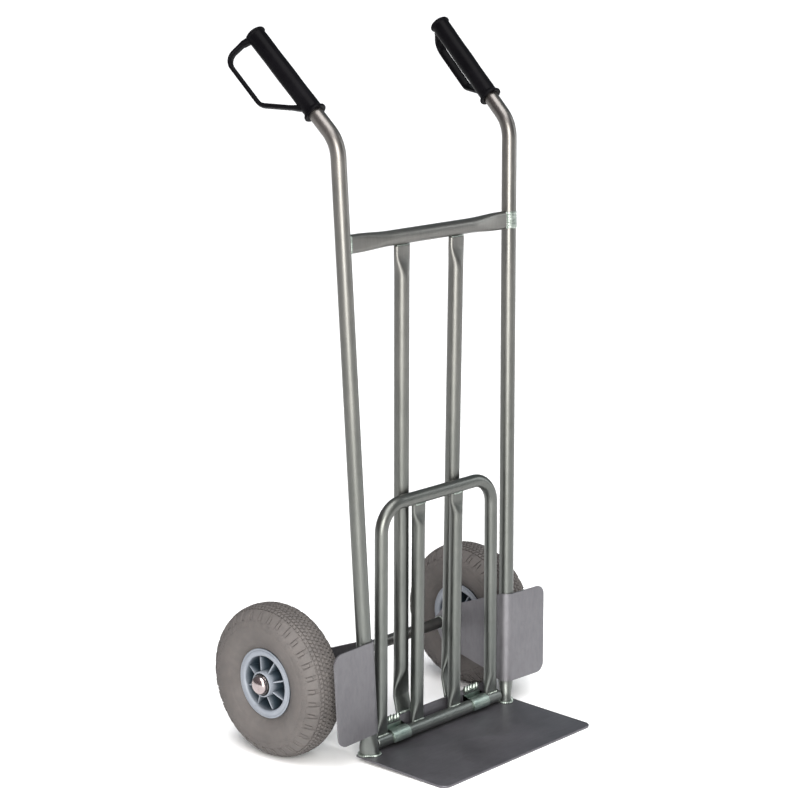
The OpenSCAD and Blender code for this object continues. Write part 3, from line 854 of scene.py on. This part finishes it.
def grip_body(side, base):
    """Turned round the tube: collar at the low end, a plain part for the hand, a closed end."""
    top, bore = GRIP_LEN, TUBE_R + 0.06
    prof = [(bore, 10.0), (bore, 0.8), (13.6, 0.0), (COLLAR_R - 1.2, 0.0), (COLLAR_R - 0.3, 0.7),
            (COLLAR_R, 1.9), (COLLAR_R - 0.2, 3.6), (COLLAR_R - 1.2, 4.8), (GRIP_R + 1.6, 6.0),
            (GRIP_R + 0.5, 7.6), (GRIP_R, 10.0)]
    z = 16.0
    while z < top - 20:
        prof.append((GRIP_R - 0.1 + 0.18 * sin(z * 0.09), z))
        z += 6.0
    prof += [(GRIP_R - 0.1, top - 12), (GRIP_R + 0.2, top - 8.6), (GRIP_R + 1.2, top - 7.4),
             (GRIP_R + 2.0, top - 6.6), (GRIP_R + 2.1, top - 4.8), (GRIP_R + 1.5, top - 3.4),
             (GRIP_R + 0.2, top - 2.4), (GRIP_R - 2.4, top - 1.6), (GRIP_R - 6, top - 1.2),
             (0.01, top - 1)]
    n = 64
    rings = []
    for r, z in prof:
        ring = [Vector((r * cos(2 * pi * i / n), r * sin(2 * pi * i / n), z)) * MM for i in range(n)]
        rings.append([flip(base @ q, side) for q in ring])
    v, f = rings_to_mesh(rings, cap=(False, True))
    return link("grip_body", v, f, GRIP, 28)


def guard_line():
    """Middle of the knuckle guard, as (along the grip, out from it), from closed end to collar."""
    pts = [Vector((168.5, 10, 0)), Vector((171.5, 26, 0)), Vector((169, GUARD_REACH, 0)),
           Vector((71, GUARD_REACH, 0)), Vector((19, 10, 0))]
    line = [pts[0]] + curve_through(pts[:3], 10.0, 8)[1:-1] + curve_through(pts[1:], 19.0, 14)[1:]
    fine = [line[0]]
    for q in line[1:]:
        steps = max(1, int((q - fine[-1]).length / 4))
        a = fine[-1].copy()
        for k in range(1, steps + 1):
            fine.append(a.lerp(q, k / steps))
    return fine


def knuckle_guard(side, base):
    """A flat rounded band, a little thicker where it runs into the grip."""
    turn = base @ Matrix.Rotation(-GUARD_TURN, 4, "Z")
    path = [turn @ (Vector((0, q.y, q.x)) * MM) for q in guard_line()]
    nor = (turn.to_3x3() @ Vector((1, 0, 0))).normalized()
    n = 24
    rings = []
    for i, c in enumerate(path):
        a, b = path[max(0, i - 1)], path[min(len(path) - 1, i + 1)]
        t = (b - a).normalized()
        w = (nor - t * nor.dot(t)).normalized()
        th = t.cross(w).normalized()
        end = min(i, len(path) - 1 - i)
        grow = 1 + 0.35 * max(0.0, 1 - end / 5) + 0.22 * max(0.0, 1 - i / 16)
        ring = []
        for j in range(n):
            ang = 2 * pi * (j + 0.5) / n
            ca, sa = cos(ang), sin(ang)
            u = (1 if ca > 0 else -1) * abs(ca) ** 0.62 * GUARD_HALF_W * min(grow, 1.15)
            h = (1 if sa > 0 else -1) * abs(sa) ** 0.7 * GUARD_HALF_T * grow
            ring.append(flip(c + (w * u + th * h) * MM, side))
        rings.append(ring)
    v, f = rings_to_mesh(rings)
    return link("grip_guard", v, f, GRIP, 50)


def grip(side):
    base = BENT @ Matrix.Translation(Vector((0, 0, GRIP_FROM)) * MM)
    return join("grip_moulding_" + LETTER[side], [grip_body(side, base), knuckle_guard(side, base)])


# ---------------------------------------------------------------- wheels

# half of the tyre's section, as (radius, distance from its middle plane), bead to crown
TYRE_POINTS = [(61.0, 27.4), (64.0, 31.8), (70.0, 36.8), (78.0, 40.2), (86.0, 41.6), (94.0, 41.4),
               (100.0, 40.4), (106.0, 38.6), (112.0, 35.7), (117.0, 32.1), (121.0, 28.3), (124.4, 23.4),
               (126.9, 18.3), (128.6, 12.4), (129.6, 6.6), (129.8, 0.0)]
SECTION_MID, TREAD_START, TREAD_R = 95.0, 105.0, 125.0
LUGS, KNOBS = 34, 102


def catmull(pts, per):
    """A smooth curve through pts, per steps from each to the next."""
    out = []
    for i in range(len(pts) - 1):
        p0, p1, p2, p3 = pts[max(0, i - 1)], pts[i], pts[i + 1], pts[min(len(pts) - 1, i + 2)]
        for k in range(per):
            t = k / per
            out.append(tuple(0.5 * (2 * b + (c - a) * t + (2 * a - 5 * b + 4 * c - d) * t * t
                                    + (3 * b - a - 3 * c + d) * t ** 3)
                             for a, b, c, d in zip(p0, p1, p2, p3)))
    out.append(pts[-1])
    return out


def full_profile():
    half = catmull(TYRE_POINTS, 5)
    other = [(r, -z) for r, z in reversed(half[:-1])]
    return half + other


OUTLINE = full_profile()


def at_run(run):
    """Point and outward normal on the outline, run along it from the crown, in millimetres."""
    sideways = Vector((0, 1 if run > 0 else -1))
    i, left = len(OUTLINE) // 2, abs(run)
    step = -1 if run > 0 else 1
    while 0 < i < len(OUTLINE) - 1:
        a, b = Vector(OUTLINE[i]), Vector(OUTLINE[i + step])
        d = (b - a).length
        if left <= d:
            q = a.lerp(b, left / d)
            t = (b - a).normalized()
            nor = sideways
            if abs(t.y) > 1e-9:
                nor = Vector((abs(t.y), -t.x * (1 if t.y > 0 else -1)))
            if nor.dot(Vector((q.x - SECTION_MID, q.y))) < 0:
                nor = -nor
            return q, nor
        left -= d
        i += step
    return Vector(OUTLINE[i]), sideways


def groove_depth(r):
    """How far the tread's floor lies under the outline at radius r."""
    deepest, slope = 2.6, 8.0
    if r < TREAD_START:
        return 0.0
    if r < TREAD_START + slope:
        return deepest * smooth01((r - TREAD_START) / slope)
    return deepest


def tyre_base(side, centre):
    """The tyre without its tread: the outline, sunk where the blocks stand."""
    floor = []
    for i, (r, z) in enumerate(OUTLINE):
        a, b = OUTLINE[max(0, i - 1)], OUTLINE[min(len(OUTLINE) - 1, i + 1)]
        t = Vector((b[0] - a[0], b[1] - a[1])).normalized()
        nor = Vector((-t.y, t.x))
        if nor.dot(Vector((r - SECTION_MID, z))) < 0:
            nor = -nor
        d = groove_depth(r)
        # fine rings pressed in the smooth side wall
        if 72 < r < 74 or 97.5 < r < 99:
            d += 0.35
        floor.append((r - nor.x * d, z - nor.y * d))
    prof = [(56.2, -26.0), (56.2, 26.0), (58.5, 26.8)] + floor + [(58.5, -26.8)]
    return lathe("tyre_base", prof, centre, FOAM, side, 204, 40)


class Tread:
    """Raised blocks that follow the tyre's outline, gathered in one mesh."""

    def __init__(self, side, centre):
        self.side, self.centre = side, centre
        self.verts, self.faces = [], []

    def put(self, phi, q, nor, h):
        r, z = q.x + nor.x * h, q.y + nor.y * h
        self.verts.append(self.centre + Vector((self.side * z, r * cos(phi), r * sin(phi))) * MM)

    def block(self, phi, wide, run0, run1, nv, inset, top, sink, skew=0.0, pinch=0.0):
        """One block, wide round the wheel and from run0 to run1 over the section, in millimetres.

        Its foot lies sink under the outline and is inset wider all round than its top."""
        start = len(self.verts)
        for spread, h in ((inset, -sink), (0.0, top)):
            for j in range(nv + 1):
                f = j / nv
                q, nor = at_run(run0 - spread + (run1 - run0 + 2 * spread) * f)
                w = wide / 2 + spread - pinch * (2 * f - 1) * wide / 2
                for u in (-1, 0, 1):
                    self.put(phi + (u * w + skew * (f - 0.5)) / TREAD_R, q, nor, h)
        self.skin(start, nv)

    def skin(self, start, nv):
        """Top, sides and ends of the block whose points begin at start; its foot stays open."""
        cols = 3
        per = (nv + 1) * cols
        for j in range(nv):
            for u in (0, 1):
                a = start + per + j * cols + u
                self.faces.append((a, a + 1, a + cols + 1, a + cols))
        for j in range(nv):
            for u in (0, 2):
                a, b = start + j * cols + u, start + per + j * cols + u
                self.faces.append((a, a + cols, b + cols, b))
        for j in (0, nv):
            for u in (0, 1):
                a, b = start + j * cols + u, start + per + j * cols + u
                self.faces.append((a, a + 1, b + 1, b))


def tyre_tread(side, centre):
    """Long shoulder lugs with short ones between, seven rows of knobs, fine ribs at the wall."""
    tread = Tread(side, centre)
    for i in range(LUGS):
        phi = 2 * pi * i / LUGS
        for s in (-1, 1):
            ph = phi + (0 if s > 0 else pi / LUGS)
            tread.block(ph, 13.5, s * 25.5, s * 47.0, 7, 0.9, 0.0, 3.0, skew=2.0 * s, pinch=0.12)
            tread.block(ph + pi / LUGS, 5.0, s * 32.0, s * 44.0, 5, 0.7, -0.5, 3.0)
    for i in range(KNOBS):
        for k in range(-3, 4):
            odd = k % 2
            phi = 2 * pi * (i + (0.5 if odd else 0.0)) / KNOBS
            run = k * 6.7
            tread.block(phi, 4.6, run - 2.3, run + 2.3, 1, 0.5, -0.25 if odd else 0.0, 2.9,
                        skew=1.6 if odd else -1.6)
    for i in range(KNOBS):
        for s in (-1, 1):
            tread.block(2 * pi * (i + 0.5) / KNOBS, 2.2, s * 47.5, s * 57.0, 3, 0.5, 0.25, 1.2)
    return link("tyre_tread", tread.verts, tread.faces, FOAM, 25)


def tyre(side, centre):
    parts = [tyre_base(side, centre), tyre_tread(side, centre)]
    return join("tyre_with_tread_" + LETTER[side], parts)


def rim_body(side, centre):
    # (radius, distance from the middle plane): outer edge, down the dish, web, out along the hub
    half = [(56.0, 26.2), (58.9, 26.8), (59.3, 27.2), (59.3, 28.2), (58.9, 28.9), (58.2, 29.2),
            (56.6, 29.3), (56.2, 29.0), (55.7, 29.0), (55.3, 29.4), (54.4, 29.9), (50.2, 30.0),
            (48.6, 29.8), (47.4, 29.2), (46.6, 28.2), (46.2, 26.6), (43.0, 5.5), (42.4, 3.8),
            (41.0, 2.8), (25.0, 2.8), (23.2, 3.3), (22.2, 4.8), (21.5, 35.8), (21.2, 36.6),
            (20.5, 37.0), (19.4, 37.0), (18.8, 36.6), (18.5, 35.8), (18.5, 26.0)]
    prof = half + [(r, -z) for r, z in reversed(half)]
    return lathe("rim_body", prof, centre, RIM, side, 120, 30)


def rim_rib(side, centre, turn, face):
    """A thin rib from the hub to the dish, on one face of the web."""
    u, w = Vector((0, cos(turn), sin(turn))), Vector((0, -sin(turn), cos(turn)))
    outline = [(21.6, 2.0), (43.2, 2.0), (45.6, 25.0), (43.0, 25.8), (23.0, 30.2), (21.6, 30.6)]

    def place(r, z, t):
        return centre + (u * r + w * t + Vector((side * z * face, 0, 0))) * MM

    return prism("rim_rib", outline, -1.25, 1.25, place, RIM, 0.5, 2)


def rim_knob(side, centre, turn):
    """A shallow boss on the web between two ribs."""
    from_axle, n = 32, 20
    spot = centre + Vector((side * 2.6, from_axle * cos(turn), from_axle * sin(turn))) * MM
    rings = []
    for r, h in ((4.6, 0.0), (4.4, 1.6), (3.9, 2.0), (0.01, 2.1)):
        angles = [2 * pi * j / n for j in range(n)]
        rings.append([spot + Vector((side * h, r * cos(a), r * sin(a))) * MM for a in angles])
    v, f = rings_to_mesh(rings)
    return link("rim_knob", v, f, RIM, 30)


def rim(side, centre):
    parts = [rim_body(side, centre)]
    for i in range(RIB_COUNT):
        turn = 2 * pi * i / RIB_COUNT + RIB_TURN
        parts += [rim_rib(side, centre, turn, face) for face in (1, -1)]
        parts.append(rim_knob(side, centre, turn + pi / RIB_COUNT))
    return join("rim_moulding_" + LETTER[side], parts)


def hub_cap(side):
    """A pressed bright dome on the axle's end."""
    dome_r, dome_at, dome_rise = 16.3, 40.2, 10.2
    prof = [(10.1, 37.4), (16.9, 37.4), (17.3, 37.8), (17.3, 38.5), (16.6, 39.2), (dome_r, dome_at)]
    for i in range(1, 15):
        a = pi / 2 * i / 14
        prof.append((max(0.01, dome_r * cos(a)), dome_at + dome_rise * sin(a)))
    prof += [(0.01, 48.6), (10.1, 46.0)]
    centre = Vector((side * WHEEL_X * MM, wheel_mid[side].y, wheel_mid[side].z))
    return lathe("hub_cap_dome_" + LETTER[side], prof, centre, CHROME, side, 72, 50)


def axle():
    half, r, edge = WHEEL_X + 36.6, 10.0, 0.8
    prof = [(0.01, -half), (9.3, -half), (r, -half + edge), (r, half - edge), (9.3, half), (0.01, half)]
    return lathe("axle_bar", prof, P(0, WHEEL_Y, WHEEL_Z), AXLE, n=48, closed=False)


# ---------------------------------------------------------------- build and attach

for s in (-1, 1):
    word = "left" if s < 0 else "right"
    o = upright(s)
    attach(o, "frame")
    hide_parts(word + "_upright", word + "_foot_plug")
    o = ladder_bar(s)
    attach(o, "frame")
    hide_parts(word + "_ladder_bar")
    o = bracket(s)
    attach(o, "frame")
    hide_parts(word + "_axle_bracket")
    o = strap(s)
    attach(o, "frame")
    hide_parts(word + "_hinge_strap")
    o = grip(s)
    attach(o, "frame")
    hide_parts(word + "_grip")
    o = hub_cap(s)
    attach(o, "frame")
    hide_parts(word + "_hub_cap")
    o = tyre(s, wheel_mid[s])
    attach(o, word + "_wheel")
    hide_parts(word + "_tyre")
    o = rim(s, wheel_mid[s])
    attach(o, word + "_wheel")
    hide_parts(word + "_rim")
    o = fold_bar(s)
    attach(o, "folding_frame")
    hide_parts(word + "_fold_bar")

for build, body, node, mat_slot in ((crossbar, "frame", "upper_crossbar", "tube_steel"),
                                    (toe_plate, "frame", "toe_plate", "toe_steel"),
                                    (axle, "frame", "axle", "axle_steel"),
                                    (frame_beads, "frame", "frame_welds", "zinc_steel"),
                                    (hoop, "folding_frame", "fold_hoop", "tube_steel"),
                                    (hinge_tube, "folding_frame", "hinge_tube", "tube_steel"),
                                    (fold_beads, "folding_frame", "fold_welds", "zinc_steel")):
    o = build()
    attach(o, body)
    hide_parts(node)

# these stay as they are in CAD, in the axle's steel
for n in ("left_spacers", "right_spacers", "left_bearings", "right_bearings"):
    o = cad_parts[n]
    o.data.materials.clear()
    o.data.materials.append(AXLE)

# ---------------------------------------------------------------- floor, light and camera


def floor_material():
    k = Shader("studio_floor")
    n = k.noise(1.5, 3, 0.5)
    tone = k.ramp(n, "Fac", [(0.3, (0.93, 0.93, 0.93)), (0.7, (0.95, 0.95, 0.95))])
    k.join(tone, "Color", k.bsdf, "Base Color")
    k.bsdf.inputs["Roughness"].default_value = 0.9
    k.bsdf.inputs["Specular IOR Level"].default_value = 0.1
    return k.mat


def studio_floor():
    span = 600.0
    corners = [(-span, -span, 0), (span, -span, 0), (span, span, 0), (-span, span, 0)]
    return link("studio_floor", corners, [(0, 1, 2, 3)], floor_material(), flat=True)


def studio_world():
    """Grey surroundings, lighter above, a touch warm to one side and cool to the other."""
    world = bpy.data.worlds.new("studio")
    k = Nodes(world)
    axes = k.add("ShaderNodeSeparateXYZ")
    k.join(k.coord, "Generated", axes, "Vector")
    height = k.ramp(axes, "Z", [(0.0, (0.3, 0.3, 0.305)), (0.6, (0.5, 0.5, 0.51))])
    across = k.span(axes, "X", 0.0, 1.0, -1.0, 1.0)
    tint = k.ramp(across, "Result", [(0.1, (1.0, 0.86, 0.89)), (0.9, (0.82, 0.97, 1.0))])
    tone = k.mix("MULTIPLY", 1.0, height, "Color", tint, "Color")
    back = k.add("ShaderNodeBackground")
    back.inputs["Strength"].default_value = 0.64
    k.join(tone, 2, back, "Color")
    k.join(back, "Background", k.add("ShaderNodeOutputWorld"), "Surface")
    return world


def softbox(name, at, aim, size, power, color=(1, 1, 1)):
    data = bpy.data.lights.new(name, "AREA")
    data.shape = "RECTANGLE"
    data.size, data.size_y = size
    data.energy = power
    data.color = color
    ob = bpy.data.objects.new(name, data)
    ob.location = at
    ob.rotation_euler = (Vector(aim) - Vector(at)).to_track_quat("-Z", "Y").to_euler()
    bpy.context.scene.collection.objects.link(ob)
    return ob


def sun(name, aim, strength, angle):
    """Even light over the whole floor, soft enough for pale shadows."""
    data = bpy.data.lights.new(name, "SUN")
    data.energy = strength
    data.angle = radians(angle)
    ob = bpy.data.objects.new(name, data)
    ob.rotation_euler = Vector(aim).to_track_quat("-Z", "Y").to_euler()
    bpy.context.scene.collection.objects.link(ob)
    return ob


def studio_camera():
    """Looks from the truck's front left, a little from above, with a slight roll."""
    yaw, pitch, roll = 0.813, -0.198, -0.027
    data = bpy.data.cameras.new("camera")
    data.lens = 97.63
    data.sensor_width = 36.0
    data.clip_end = 2000
    ob = bpy.data.objects.new("camera", data)
    bpy.context.scene.collection.objects.link(ob)
    forward = Vector((sin(yaw) * cos(pitch), cos(yaw) * cos(pitch), sin(pitch)))
    level = Vector((cos(yaw), -sin(yaw), 0))
    up = level.cross(forward)
    right = level * cos(roll) + up * sin(roll)
    up = -level * sin(roll) + up * cos(roll)
    turn = Matrix((right, up, -forward)).transposed().to_4x4()
    ob.matrix_world = Matrix.Translation(P(-2586.8, -2378.8, 1284.5)) @ turn
    return ob


studio_floor()
bpy.context.scene.view_settings.view_transform = "Standard"
bpy.context.scene.world = studio_world()
sun("overhead", (0.25, 0.3, -1.0), 3.5, 50)
softbox("key", (-2.75, -2.85, 1.5), (0, 0, 0.75), (2.0, 2.8), 285, (1.0, 0.985, 0.95))
softbox("side", (2.6, -1.4, 1.5), (0, 0, 0.55), (0.7, 2.2), 25, (0.97, 0.99, 1.0))
bpy.context.scene.camera = studio_camera()
